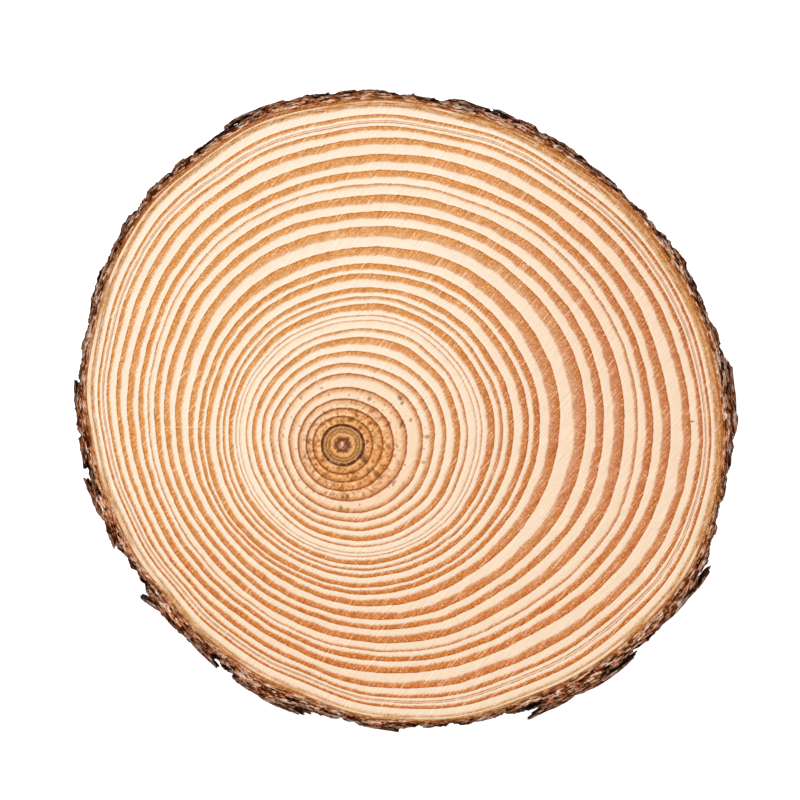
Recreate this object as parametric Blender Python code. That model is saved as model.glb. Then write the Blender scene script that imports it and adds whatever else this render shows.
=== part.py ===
"""A slice sawn across a softwood trunk, lying flat on one of its two sawn faces.

The slice is wood, from the pith out to the cambium, inside a ring of scaly bark.
Lengths called _MM are in millimetres, and everything that reaches Blender is in metres.
Angles are measured at the pith, anticlockwise from +X, in degrees.
"""

import math
from collections import namedtuple

import bmesh
import bpy
from mathutils import Vector, noise

MM = 0.001

# Driving dimensions
THICKNESS_MM = 20.0
# From the pith to the cambium, where wood meets bark, every 15 degrees.
CAMBIUM_RADII_MM = (
    137.2, 137.6, 136.5, 133.4, 130.0, 127.1, 124.0, 121.1,
    114.2, 108.6, 100.8, 95.0, 90.1, 86.3, 84.0, 84.0,
    85.8, 90.3, 95.6, 102.6, 110.0, 118.2, 127.6, 135.0,
)  # fmt: skip
# How thick the bark's firm layers are, under the loose flakes, every 15 degrees.
BARK_DEPTHS_MM = (
    2.8, 4.2, 4.0, 2.7, 3.9, 3.3, 3.5, 3.3,
    3.4, 3.6, 4.0, 4.0, 5.3, 5.4, 4.5, 5.7,
    4.8, 5.5, 4.0, 3.0, 3.1, 5.8, 4.8, 3.0,
)  # fmt: skip
CAMBIUM_GAP_MM = 0.3  # the dried cambium between the wood and the bark

# The bark's plates: cells on the bark's face, longer up the trunk than around it.
PLATE_WIDTH_MM = 15.0
PLATE_STRETCH = 0.42
PLATE_LIFT_MM = 0.9
FISSURE_DEPTH_MM = 1.9
FISSURE_SHARE = 0.26
ROUGHNESS_MM = 0.7
# The saw breaks the bark's outer edges a little below the sawn faces.
EDGE_LOSS_MM = 0.9

# How finely the solids are divided
WOOD_SIDES = 180
BARK_SIDES = 264
BARK_ROWS = 6
FLAKE_STEPS = 5
FLAKE_SEED = 0.77  # picks the flakes' small irregularities

WOOD_COLOUR = (0.90, 0.70, 0.46, 1.0)
BARK_COLOUR = (0.17, 0.085, 0.055, 1.0)

# A flake is a scale of bark still held at its root, with its tip standing free.
# root and tip are angles. root_face and tip_face are how far its outer face lies from the
# cambium, and the last three are its thickness at the root and the heights it spans.
Flake = namedtuple("Flake", "root tip root_face_mm tip_face_mm thick_mm low_mm high_mm")
FLAKES = (
    Flake(359.0, 371.4, 5.5, 6.5, 2.8, 4.0, 19.6),
    Flake(362.0, 356.2, 4.2, 3.2, 1.8, 9.6, 19.2),
    Flake(392.0, 384.0, 4.3, 5.0, 1.6, 0.6, 11.0),
    Flake(410.0, 403.5, 3.5, 3.3, 1.4, 6.0, 14.0),
    Flake(418.5, 409.6, 4.2, 3.5, 1.9, 5.0, 19.5),
    Flake(434.6, 426.6, 4.9, 4.7, 2.2, 7.0, 19.6),
    Flake(417.4, 425.2, 3.6, 5.4, 1.8, 8.0, 19.5),
    Flake(431.0, 423.5, 3.4, 4.4, 1.8, 1.0, 12.5),
    Flake(458.5, 454.0, 3.8, 4.2, 1.7, 8.5, 19.6),
    Flake(443.0, 449.0, 3.5, 3.7, 1.5, 0.8, 10.0),
    Flake(456.5, 469.9, 4.1, 5.1, 2.2, 8.0, 19.7),
    Flake(477.0, 471.0, 3.5, 3.8, 1.4, 1.5, 14.0),
    Flake(489.0, 485.4, 4.1, 4.0, 1.5, 5.0, 19.5),
    Flake(497.0, 492.0, 4.5, 3.9, 1.5, 7.5, 19.5),
    Flake(508.0, 514.5, 4.4, 5.0, 1.6, 0.7, 12.0),
    Flake(533.0, 526.6, 4.9, 5.2, 1.7, 6.0, 19.6),
    Flake(538.0, 545.2, 5.2, 6.1, 2.0, 5.0, 19.6),
    Flake(556.5, 547.8, 6.1, 6.9, 2.4, 3.0, 19.7),
    Flake(558.0, 563.9, 5.9, 6.4, 1.6, 8.0, 19.5),
    Flake(561.0, 566.8, 5.2, 4.6, 1.3, 1.5, 13.0),
    Flake(586.3, 577.2, 5.7, 8.6, 2.0, 2.5, 19.7),
    Flake(590.0, 600.2, 5.9, 7.4, 2.4, 6.5, 19.6),
    Flake(597.0, 591.0, 5.4, 6.8, 1.6, 0.8, 9.5),
    Flake(612.0, 604.6, 6.4, 6.7, 2.3, 3.0, 19.6),
    Flake(608.0, 621.0, 6.6, 7.5, 2.6, 5.0, 19.6),
    Flake(614.0, 622.6, 5.9, 6.7, 1.7, 1.0, 13.0),
    Flake(632.0, 640.5, 4.6, 5.4, 2.0, 4.0, 19.4),
    Flake(643.0, 636.2, 3.6, 4.9, 1.7, 0.9, 12.0),
    Flake(652.0, 658.0, 3.5, 4.3, 1.5, 5.5, 14.0),
    Flake(674.5, 664.9, 7.6, 8.9, 2.6, 4.0, 19.6),
    Flake(671.5, 684.3, 7.9, 5.9, 2.2, 2.5, 19.6),
    Flake(688.5, 700.6, 5.5, 5.9, 2.0, 3.5, 19.6),
    Flake(693.0, 687.5, 5.4, 6.3, 1.6, 1.0, 12.0),
    Flake(709.0, 713.0, 2.9, 3.0, 1.2, 2.0, 13.5),
)


def smooth_step(low, high, value):
    share = min(max((value - low) / (high - low), 0.0), 1.0)
    return share * share * (3.0 - 2.0 * share)


def around(readings, degrees):
    """Reads a closed smooth curve through evenly spaced readings, at any angle."""
    place = (degrees % 360.0) / 360.0 * len(readings)
    first = int(place)
    share = place - first
    before, start, end, after = (readings[(first + step) % len(readings)] for step in (-1, 0, 1, 2))
    slope_in = (end - before) / 2.0
    slope_out = (after - start) / 2.0
    square = share * share
    cube = square * share
    return (
        (2.0 * cube - 3.0 * square + 1.0) * start
        + (cube - 2.0 * square + share) * slope_in
        + (3.0 * square - 2.0 * cube) * end
        + (cube - square) * slope_out
    )


def cambium_mm(degrees):
    """From the pith to the cambium: the smooth outline, with the small waves of real growth."""
    turn = math.radians(degrees)
    waves = 0.35 * math.sin(9.0 * turn + 0.6) + 0.25 * math.sin(17.0 * turn + 2.1)
    return around(CAMBIUM_RADII_MM, degrees) + waves


def on_bark(degrees, height_mm):
    """The point of the bark's face that its plates are read at, in plate widths."""
    turn = math.radians(degrees)
    radius = cambium_mm(degrees)
    return Vector((radius * math.cos(turn), radius * math.sin(turn), height_mm * PLATE_STRETCH)) / PLATE_WIDTH_MM


def bark_depth_mm(degrees, height_mm):
    """How far the firm bark reaches beyond the cambium: plates parted by fissures."""
    place = on_bark(degrees, height_mm)
    aside = noise.noise(place * 1.7)
    along = noise.noise(place * 1.7 + Vector((7.0, 0.0, 0.0)))
    wander = 0.35 * Vector((aside, along, 0.0))
    distances, seeds = noise.voronoi(place + wander)
    fissure = 1.0 - smooth_step(0.0, FISSURE_SHARE, distances[1] - distances[0])
    lift = PLATE_LIFT_MM * noise.noise(seeds[0] * 3.1)
    rough = ROUGHNESS_MM * noise.noise(place * 5.0)
    depth = around(BARK_DEPTHS_MM, degrees) + lift + rough - FISSURE_DEPTH_MM * fissure
    return max(depth, 1.2)


def edge_loss_mm(degrees, face):
    """How far the bark's outer edge is broken back from a sawn face; face is a number that tells the two apart."""
    place = on_bark(degrees, 0.0) * 2.6 + Vector((0.0, 0.0, 40.0 * face))
    return EDGE_LOSS_MM * (0.55 + 0.45 * noise.noise(place))


def place_mm(degrees, radius_mm, height_mm):
    turn = math.radians(degrees)
    return Vector((radius_mm * math.cos(turn), radius_mm * math.sin(turn), height_mm))


def new_object(name, shape):
    """Turns a finished bmesh, in millimetres, into an object in metres."""
    bmesh.ops.recalc_face_normals(shape, faces=shape.faces)
    bmesh.ops.scale(shape, vec=(MM, MM, MM), verts=shape.verts)
    mesh = bpy.data.meshes.new(name)
    shape.to_mesh(mesh)
    shape.free()
    made = bpy.data.objects.new(name, mesh)
    bpy.context.scene.collection.objects.link(made)
    return made


def finish(name, colour, roughness):
    material = bpy.data.materials.new(name)
    material.use_nodes = True
    shader = material.node_tree.nodes["Principled BSDF"]
    shader.inputs["Base Color"].default_value = colour
    shader.inputs["Roughness"].default_value = roughness
    shader.inputs["Metallic"].default_value = 0.0
    material.diffuse_color = colour
    return material


def make_wood():
    """The wood is the cambium's outline, raised straight up through the slice's thickness."""
    shape = bmesh.new()
    outline = bmesh.ops.create_circle(shape, segments=WOOD_SIDES, radius=1.0, cap_ends=True)
    for vertex in outline["verts"]:
        degrees = math.degrees(math.atan2(vertex.co.y, vertex.co.x))
        vertex.co = place_mm(degrees, cambium_mm(degrees), 0.0)
    raised = bmesh.ops.extrude_face_region(shape, geom=shape.faces[:])
    top = [item for item in raised["geom"] if isinstance(item, bmesh.types.BMVert)]
    bmesh.ops.translate(shape, verts=top, vec=(0.0, 0.0, THICKNESS_MM))
    return new_object("wood", shape)


def make_bark_ring():
    """The firm bark: a section of the ring, spun round and then moved out to the plates' relief.

    Before it is moved, a vertex lies at 1 plus its share of the bark's depth from the axis,
    and its height is its share of the slice's thickness.
    """
    shape = bmesh.new()
    shares_up = [(0.0, 0.0), (0.0, 1.0), (0.5, 1.0)]
    shares_up += [(1.0, 1.0 - row / BARK_ROWS) for row in range(BARK_ROWS + 1)]
    shares_up += [(0.5, 0.0)]
    section = [shape.verts.new((1.0 + across, 0.0, up)) for across, up in shares_up]
    edges = [shape.edges.new((start, end)) for start, end in zip(section, section[1:] + section[:1])]
    bmesh.ops.spin(
        shape,
        geom=section + edges,
        cent=(0.0, 0.0, 0.0),
        axis=(0.0, 0.0, 1.0),
        angle=math.tau,
        steps=BARK_SIDES,
        use_merge=True,
    )
    bmesh.ops.remove_doubles(shape, verts=shape.verts, dist=1e-4)
    for vertex in shape.verts:
        degrees = math.degrees(math.atan2(vertex.co.y, vertex.co.x))
        across = vertex.co.xy.length - 1.0
        low = edge_loss_mm(degrees, 0) * across**2
        high = THICKNESS_MM - edge_loss_mm(degrees, 1) * across**2
        height = low + (high - low) * vertex.co.z
        inner = cambium_mm(degrees) + CAMBIUM_GAP_MM
        depth = bark_depth_mm(degrees, height) - CAMBIUM_GAP_MM
        vertex.co = place_mm(degrees, inner + depth * across, height)
    return new_object("bark", shape)


def make_flake(flake, number):
    """A flake is a strip of the bark's curve, thinning towards a narrow, ragged tip.

    It starts as a unit box, cut across its length: x runs from root to tip, y through
    the flake from its inner to its outer face, and z up it.
    """
    shape = bmesh.new()
    bmesh.ops.create_cube(shape, size=1.0)
    bmesh.ops.translate(shape, verts=shape.verts, vec=(0.5, 0.5, 0.5))
    for step in range(1, FLAKE_STEPS):
        cut = Vector((step / FLAKE_STEPS, 0.0, 0.0))
        everything = shape.verts[:] + shape.edges[:] + shape.faces[:]
        bmesh.ops.bisect_plane(shape, geom=everything, plane_co=cut, plane_no=(1.0, 0.0, 0.0))
    everything = shape.verts[:] + shape.edges[:] + shape.faces[:]
    bmesh.ops.bisect_plane(shape, geom=everything, plane_co=(0.0, 0.0, 0.5), plane_no=(0.0, 0.0, 1.0))
    tall = flake.high_mm - flake.low_mm
    for vertex in shape.verts:
        along, across, up = vertex.co
        jag = Vector((along * 2.3, up * 2.7, 5.0 * number + FLAKE_SEED))
        reach = along + 0.16 * along * noise.noise(jag)
        degrees = flake.root + (flake.tip - flake.root) * reach
        outer = flake.root_face_mm + (flake.tip_face_mm - flake.root_face_mm) * along**1.6
        outer += 0.35 * noise.noise(jag * 1.9)
        thick = flake.thick_mm * (1.0 - 0.6 * along)
        narrow = 0.5 * along**3 * (1.0 - 0.4 * noise.noise(jag))
        height = flake.low_mm + tall * (0.35 * narrow + up * (1.0 - 0.7 * narrow))
        vertex.co = place_mm(degrees, cambium_mm(degrees) + outer - thick * (1.0 - across), height)
    return new_object("flake", shape)


def fill_bubbles(mesh):
    """Fills each hollow that is closed in between flakes, by leaving only the largest connected skin."""
    shape = bmesh.new()
    shape.from_mesh(mesh)
    skins = []
    waiting = set(shape.faces)
    while waiting:
        skin = {waiting.pop()}
        rim = set(skin)
        while rim:
            seams = [link for face in rim for link in face.edges if len(link.link_faces) == 2]
            rim = {face for seam in seams for face in seam.link_faces} - skin
            skin |= rim
        waiting -= skin
        skins.append(skin)
    outer = max(skins, key=len)
    bmesh.ops.delete(shape, geom=[face for face in shape.faces if face not in outer], context="FACES")
    shape.to_mesh(mesh)
    shape.free()


def join_flakes(ring):
    """Each flake grows from the ring, so they are joined into one solid."""
    loose = bpy.data.collections.new("loose_flakes")
    bpy.context.scene.collection.children.link(loose)
    for number, flake in enumerate(FLAKES):
        made = make_flake(flake, number)
        bpy.context.scene.collection.objects.unlink(made)
        loose.objects.link(made)
    union = ring.modifiers.new("join_flakes", "BOOLEAN")
    union.operation = "UNION"
    union.solver = "EXACT"
    union.operand_type = "COLLECTION"
    union.collection = loose
    joined = ring.evaluated_get(bpy.context.evaluated_depsgraph_get())
    ring.data = bpy.data.meshes.new_from_object(joined)
    ring.modifiers.clear()
    fill_bubbles(ring.data)
    for made in list(loose.objects):
        bpy.data.objects.remove(made)
    bpy.data.collections.remove(loose)


def stand_on_origin(objects):
    """Moves the slice so that the origin is under the middle of its outline, on its lower face."""
    corners = [vertex.co for made in objects for vertex in made.data.vertices]
    middle_x = (min(c.x for c in corners) + max(c.x for c in corners)) / 2.0
    middle_y = (min(c.y for c in corners) + max(c.y for c in corners)) / 2.0
    for made in objects:
        made.location = (-middle_x, -middle_y, 0.0)
    return middle_x, middle_y


def build():
    for old in list(bpy.data.objects):
        bpy.data.objects.remove(old)
    wood = make_wood()
    bark = make_bark_ring()
    join_flakes(bark)
    wood.data.materials.append(finish("wood", WOOD_COLOUR, 0.62))
    bark.data.materials.clear()
    bark.data.materials.append(finish("bark", BARK_COLOUR, 0.9))
    stand_on_origin((wood, bark))


build()
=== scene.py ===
import math
from collections import namedtuple
from functools import partial

import bmesh
import bpy
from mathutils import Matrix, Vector, noise


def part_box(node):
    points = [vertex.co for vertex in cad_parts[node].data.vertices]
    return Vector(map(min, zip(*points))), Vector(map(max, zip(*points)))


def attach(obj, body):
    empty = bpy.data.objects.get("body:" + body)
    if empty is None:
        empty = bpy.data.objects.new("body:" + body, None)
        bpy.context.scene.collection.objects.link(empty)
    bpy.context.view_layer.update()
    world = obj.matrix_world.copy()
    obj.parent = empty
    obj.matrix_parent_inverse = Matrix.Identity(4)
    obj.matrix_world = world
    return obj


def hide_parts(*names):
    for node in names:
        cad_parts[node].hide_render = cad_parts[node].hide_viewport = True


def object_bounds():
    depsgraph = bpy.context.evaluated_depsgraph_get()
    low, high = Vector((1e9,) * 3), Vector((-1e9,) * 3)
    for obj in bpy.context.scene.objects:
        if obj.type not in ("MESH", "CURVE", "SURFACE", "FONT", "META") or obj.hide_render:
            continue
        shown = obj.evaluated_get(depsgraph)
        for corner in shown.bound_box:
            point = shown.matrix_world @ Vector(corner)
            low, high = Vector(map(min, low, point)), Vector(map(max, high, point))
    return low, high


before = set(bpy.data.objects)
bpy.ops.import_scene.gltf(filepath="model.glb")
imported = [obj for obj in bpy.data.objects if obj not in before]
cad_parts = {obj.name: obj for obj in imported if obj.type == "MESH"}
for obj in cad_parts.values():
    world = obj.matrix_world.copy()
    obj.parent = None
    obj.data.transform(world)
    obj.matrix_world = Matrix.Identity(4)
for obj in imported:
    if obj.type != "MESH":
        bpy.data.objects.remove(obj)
solid_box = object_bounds()


# The timber: thirty years of a softwood trunk, from the pith out to the cambium. Each year is
# pale, soft wood laid down in spring, which turns to a hard orange band and stops sharply.
# The slice was cut across with a saw and lightly sanded, so hard bands stand a hair proud.
MM = 0.001
THICKNESS_MM = 20.0
WOOD_EDGE_MM = 0.12  # the wood swells this far into its drawn gap with the bark
# From the pith to the cambium, every 15 degrees anticlockwise from +X.
CAMBIUM_RADII_MM = (
    137.2, 137.6, 136.5, 133.4, 130.0, 127.1, 124.0, 121.1,
    114.2, 108.6, 100.8, 95.0, 90.1, 86.3, 84.0, 84.0,
    85.8, 90.3, 95.6, 102.6, 110.0, 118.2, 127.6, 135.0,
)
# From the pith to where some of the years ended, at the same angles.
YEAR_ENDS_MM = {
    4: (
        18.6, 18.6, 18.5, 18.0, 17.4, 17.0, 16.7, 16.7, 16.7, 16.6, 16.5, 16.4,
        16.3, 16.3, 16.3, 16.4, 16.5, 16.6, 16.8, 17.1, 17.4, 17.6, 18.0, 18.4,
    ),
    7: (
        33.1, 34.0, 33.6, 32.5, 31.1, 30.2, 29.7, 29.2, 28.3, 27.6, 27.4, 27.0,
        26.0, 25.2, 24.9, 25.8, 26.5, 27.0, 27.6, 28.9, 29.9, 30.8, 32.1, 32.5,
    ),
    10: (
        45.2, 46.0, 46.5, 46.0, 45.6, 43.6, 41.6, 40.1, 38.7, 37.7, 36.9, 35.8,
        34.8, 33.9, 33.4, 33.5, 34.1, 35.2, 36.6, 38.0, 39.8, 41.5, 43.2, 44.1,
    ),
    13: (
        54.8, 56.0, 55.5, 55.2, 54.2, 52.8, 50.1, 48.2, 46.6, 44.8, 43.5, 42.1,
        41.1, 40.3, 40.0, 39.8, 40.2, 41.3, 42.9, 44.7, 46.3, 48.6, 50.7, 52.7,
    ),
    16: (
        66.9, 68.5, 68.2, 67.7, 66.2, 63.7, 61.4, 58.6, 56.7, 54.7, 52.3, 50.7,
        49.7, 48.8, 48.4, 47.9, 48.0, 48.9, 51.1, 53.0, 55.5, 58.2, 61.0, 64.1,
    ),
    18: (
        77.9, 80.5, 80.4, 79.3, 77.3, 73.9, 71.0, 68.4, 66.1, 62.7, 59.4, 57.2,
        55.3, 53.7, 52.5, 52.2, 52.9, 54.6, 57.4, 60.3, 63.1, 66.0, 70.1, 74.4,
    ),
    20: (
        94.1, 96.1, 95.8, 93.5, 90.6, 87.2, 83.5, 81.4, 77.9, 74.2, 69.9, 66.7,
        63.7, 61.6, 59.6, 59.1, 60.3, 62.1, 65.2, 69.1, 73.4, 77.2, 83.4, 90.4,
    ),
    22: (
        106.5, 108.1, 106.8, 104.6, 100.5, 97.3, 93.4, 90.1, 86.4, 81.9, 76.7, 72.9,
        69.5, 67.1, 65.7, 65.4, 66.5, 69.4, 73.2, 77.4, 82.6, 87.6, 95.1, 102.9,
    ),
    24: (
        118.6, 118.9, 118.1, 114.7, 111.8, 108.3, 104.0, 99.8, 95.8, 90.4, 84.5, 80.5,
        76.5, 73.4, 72.3, 71.8, 72.5, 75.5, 80.6, 85.6, 91.0, 97.0, 106.0, 114.4,
    ),
}
# The last years run with the rim, so they are measured in from the cambium.
YEARS_FROM_RIM_MM = {
    26: (
        7.2, 7.4, 7.7, 9.0, 8.2, 9.1, 10.0, 11.1, 9.8, 8.9, 7.5, 7.3,
        6.6, 6.6, 6.6, 6.3, 6.7, 8.2, 7.1, 7.9, 8.4, 9.7, 10.2, 8.2,
    ),
    29: (
        4.1, 4.1, 3.9, 5.7, 4.2, 5.0, 5.6, 6.4, 5.6, 5.2, 3.9, 3.9,
        3.4, 3.6, 3.6, 3.2, 3.5, 4.9, 3.7, 3.8, 3.7, 4.2, 5.0, 4.1,
    ),
}
# Where the red-brown inner bark starts, out from the cambium; under 0 it has bitten into the wood.
INNER_BARK_MM = (
    -0.7, -0.8, -0.9, -1.3, -0.5, -0.4, -0.7, -1.0, -0.8, -0.4, 0.3, 0.0,
    0.4, 0.3, -0.1, 0.5, 0.2, -1.0, 0.3, 0.3, 0.6, -0.1, -0.6, 0.0,
)
# A year's growth on the tree's fast side (+X) and slow side (-X), the share of the year at
# which its orange band starts, and how strong the band gets.
Year = namedtuple("Year", "fast_mm slow_mm band_from strength")
YEARS = (
    Year(8.1, 7.8, 0.90, 1.0), Year(3.1, 3.1, 0.70, 0.7), Year(3.6, 2.5, 0.66, 0.7),
    Year(3.8, 2.9, 0.66, 0.8), Year(4.7, 3.1, 0.70, 0.9), Year(5.6, 3.5, 0.76, 0.95),
    Year(4.1, 3.0, 0.64, 0.95), Year(4.3, 3.1, 0.66, 1.0), Year(5.1, 3.4, 0.54, 1.0),
    Year(2.9, 2.4, 0.70, 0.9), Year(3.1, 2.4, 0.88, 0.6), Year(1.8, 1.3, 0.72, 0.6),
    Year(4.3, 2.5, 0.42, 1.0), Year(3.1, 2.2, 0.58, 0.9), Year(4.0, 2.4, 0.48, 1.0),
    Year(5.6, 4.2, 0.56, 1.0), Year(4.0, 2.4, 0.42, 1.0), Year(7.1, 3.4, 0.46, 1.0),
    Year(9.4, 4.5, 0.53, 1.0), Year(6.5, 3.8, 0.54, 1.0), Year(7.6, 3.3, 0.50, 1.0),
    Year(4.9, 2.2, 0.78, 0.8), Year(5.6, 3.1, 0.48, 1.0), Year(6.5, 4.0, 0.46, 1.0),
    Year(7.2, 3.8, 0.60, 1.0), Year(4.3, 3.3, 0.66, 1.0), Year(1.1, 1.2, 0.80, 0.9),
    Year(0.5, 0.4, 0.50, 0.5), Year(2.0, 1.6, 0.46, 1.0), Year(4.2, 3.6, 1.0, 0.0),
)
LAST_YEAR = len(YEARS)
FAST_TOTALS_MM = [sum(year.fast_mm for year in YEARS[:count]) for count in range(LAST_YEAR + 1)]
SLOW_TOTALS_MM = [sum(year.slow_mm for year in YEARS[:count]) for count in range(LAST_YEAR + 1)]
WOOD_STEPS = 720
TOP_LOOPS_A_YEAR = (0.3, 0.75, 1.0)
SANDED_HOLLOW_MM = 0.10  # how far sanding dishes the soft spring wood
HOLLOW_RISES = (0.4, 0.9)  # between these shares of the year it comes back up to the hard band
SANDING_DEGREES = 50.0
# What the mesh tells the material: for each point its age in years and how far it lies past the wood in
# mm, and for each face its year's width in mm and its band.
POINT_READINGS = ("age", "past_wood")
YEAR_READINGS = ("ring_width", "band_from", "strength")


def around(readings, degrees):
    """Reads a closed smooth curve through evenly spaced readings, at any angle."""
    place = (degrees % 360.0) / 360.0 * len(readings)
    first = int(place)
    share = place - first
    before, start, end, after = (readings[(first + step) % len(readings)] for step in (-1, 0, 1, 2))
    slope_in = (end - before) / 2.0
    slope_out = (after - start) / 2.0
    square = share * share
    cube = square * share
    return (
        (2.0 * cube - 3.0 * square + 1.0) * start
        + (cube - 2.0 * square + share) * slope_in
        + (3.0 * square - 2.0 * cube) * end
        + (cube - square) * slope_out
    )


def smooth_step(low, high, value):
    share = min(max((value - low) / (high - low), 0.0), 1.0)
    return share * share * (3.0 - 2.0 * share)


def cambium_mm(degrees):
    turn = math.radians(degrees)
    waves = 0.35 * math.sin(9.0 * turn + 0.6) + 0.25 * math.sin(17.0 * turn + 2.1)
    return around(CAMBIUM_RADII_MM, degrees) + waves


def middle_of_outline():
    """The middle of the wood's own box, seen from the pith."""
    rim = [(cambium_mm(half / 2.0), math.radians(half / 2.0)) for half in range(720)]
    across = [radius * math.cos(turn) for radius, turn in rim]
    along = [radius * math.sin(turn) for radius, turn in rim]
    return Vector(((min(across) + max(across)) / 2.0, (min(along) + max(along)) / 2.0, 0.0))


low_corner, high_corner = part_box("wood")
PITH_MM = (low_corner + high_corner) / 2.0 / MM - middle_of_outline()
PITH_MM.z = 0.0


def measured_mm(year, degrees):
    if year == 0:
        return 0.0
    if year == LAST_YEAR:
        return cambium_mm(degrees)
    if year in YEARS_FROM_RIM_MM:
        return cambium_mm(degrees) - around(YEARS_FROM_RIM_MM[year], degrees)
    return around(YEAR_ENDS_MM[year], degrees)


def ring_mm(year, degrees):
    """From the pith to where a year ended. Between measured years, each took its share of the growth."""
    measured = (0, *YEAR_ENDS_MM, *YEARS_FROM_RIM_MM, LAST_YEAR)
    if year in measured:
        return measured_mm(year, degrees)
    inner = max(other for other in measured if other < year)
    outer = min(other for other in measured if other > year)
    fast = (1.0 + math.cos(math.radians(degrees))) / 2.0
    grown = [
        fast * FAST_TOTALS_MM[count] + (1.0 - fast) * SLOW_TOTALS_MM[count]
        for count in (inner, year, outer)
    ]
    share = (grown[1] - grown[0]) / (grown[2] - grown[0])
    return measured_mm(inner, degrees) * (1.0 - share) + measured_mm(outer, degrees) * share


def place_mm(degrees, radius_mm, height_mm):
    turn = math.radians(degrees)
    return PITH_MM + Vector((radius_mm * math.cos(turn), radius_mm * math.sin(turn), height_mm))


def put_in_scene(name, shape, material, sharp_degrees):
    """Turns a finished bmesh, in millimetres, into an object in metres, smooth between its sharp edges."""
    bmesh.ops.recalc_face_normals(shape, faces=shape.faces)
    bmesh.ops.scale(shape, vec=(MM, MM, MM), verts=shape.verts)
    mesh = bpy.data.meshes.new(name)
    shape.to_mesh(mesh)
    shape.free()
    mesh.shade_smooth()
    mesh.set_sharp_from_angle(angle=math.radians(sharp_degrees))
    mesh.materials.append(material)
    made = bpy.data.objects.new(name, mesh)
    bpy.context.scene.collection.objects.link(made)
    return made


def colour(hex_code):
    """An sRGB hex colour as linear light."""
    channels = [int(hex_code[start : start + 2], 16) / 255.0 for start in (1, 3, 5)]
    return (*[c / 12.92 if c <= 0.04045 else ((c + 0.055) / 1.055) ** 2.4 for c in channels], 1.0)


def add_node(tree, kind, *sources, out=None, stops=(), **settings):
    """Adds a node with its settings, and fills the sockets that it then shows, in their order, with links
    and values; a source of None leaves its socket alone. Gives back the output named, or else the first."""
    node = tree.nodes.new("ShaderNode" + kind)
    for setting, choice in settings.items():
        setattr(node, setting, choice)
    shown = [socket for socket in node.inputs if socket.enabled]
    for socket, source in zip(shown, sources):
        if isinstance(source, bpy.types.NodeSocket):
            tree.links.new(source, socket)
        elif source is not None:
            socket.default_value = source
    for number, (position, hex_code) in enumerate(stops):
        ramp = node.color_ramp.elements
        stop = ramp[number] if number < 2 else ramp.new(position)
        stop.position = position
        stop.color = colour(hex_code)
    return node.outputs[out] if out else next(socket for socket in node.outputs if socket.enabled)


# Resin marks and long scratches on the top face, from the pith, each a soft-edged oval turned by its
# degrees.
Mark = namedtuple("Mark", "x_mm y_mm long_mm wide_mm degrees hex_code share")
MARKS = [Mark(*sizes) for sizes in (
    (126.3, 8.5, 2.2, 0.7, 4.0, "#8A5428", 0.82),
    (9.7, 16.8, 1.8, 1.3, 60.0, "#845022", 0.77),
    (20.8, 17.0, 2.4, 1.4, 125.0, "#6E3E1C", 0.77),
    (21.6, 15.2, 1.6, 1.0, 60.0, "#7A4620", 0.73),
    (3.1, 9.2, 2.4, 1.7, 10.0, "#54331F", 0.77),
    (6.4, 6.3, 1.7, 1.3, 40.0, "#4E2C18", 0.77),
    (24.7, 9.0, 1.6, 1.1, 80.0, "#A0622A", 0.77),
    (30.6, 3.0, 2.2, 1.5, 10.0, "#B0761E", 0.77),
    (29.4, -6.3, 1.8, 1.3, 0.0, "#BC8030", 0.69),
    (-0.6, -23.0, 2.2, 1.6, 95.0, "#9A5C22", 0.77),
    (1.8, -18.6, 1.7, 1.3, 80.0, "#6C3C18", 0.77),
    (1.9, -23.2, 1.0, 0.8, 0.0, "#7A4A22", 0.73),
    (12.6, -10.8, 3.8, 1.9, 135.0, "#704A26", 0.69),
    (9.3, -9.0, 1.8, 1.3, 100.0, "#6A4426", 0.69),
    (7.6, -4.6, 5.2, 2.2, 120.0, "#43261A", 0.73),
    (8.9, 1.2, 1.5, 1.0, 90.0, "#7A4A22", 0.69),
    (21.4, 7.6, 2.8, 1.3, 70.0, "#6E3C1A", 0.73),
    (11.2, 12.6, 1.6, 1.0, 30.0, "#8A5426", 0.73),
    (14.8, 10.2, 1.3, 1.0, 30.0, "#8A5426", 0.73),
    (18.6, -13.6, 2.2, 1.0, 50.0, "#7E4A22", 0.69),
    (-15.2, 17.0, 1.4, 0.8, 130.0, "#A0622A", 0.69),
    (-7.6, 20.6, 1.4, 1.0, 20.0, "#C08A46", 0.69),
    (-21.4, 3.4, 1.6, 0.6, 110.0, "#A86A32", 0.69),
    (-13.6, -7.8, 1.2, 0.8, 40.0, "#9A5C26", 0.69),
    (-6.0, -17.2, 1.4, 0.9, 40.0, "#A0642C", 0.69),
    (-53.0, 6.5, 28.0, 0.4, 0.0, "#FBE8CC", 0.6),
    (86.3, 52.5, 40.0, 0.4, 44.0, "#F6DCB8", 0.6),
    (86.7, 63.7, 18.0, 0.35, 31.0, "#F6DCB8", 0.55),
    (-58.3, 24.6, 6.5, 0.5, 45.0, "#FFF4E0", 0.69),
)]


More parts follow.
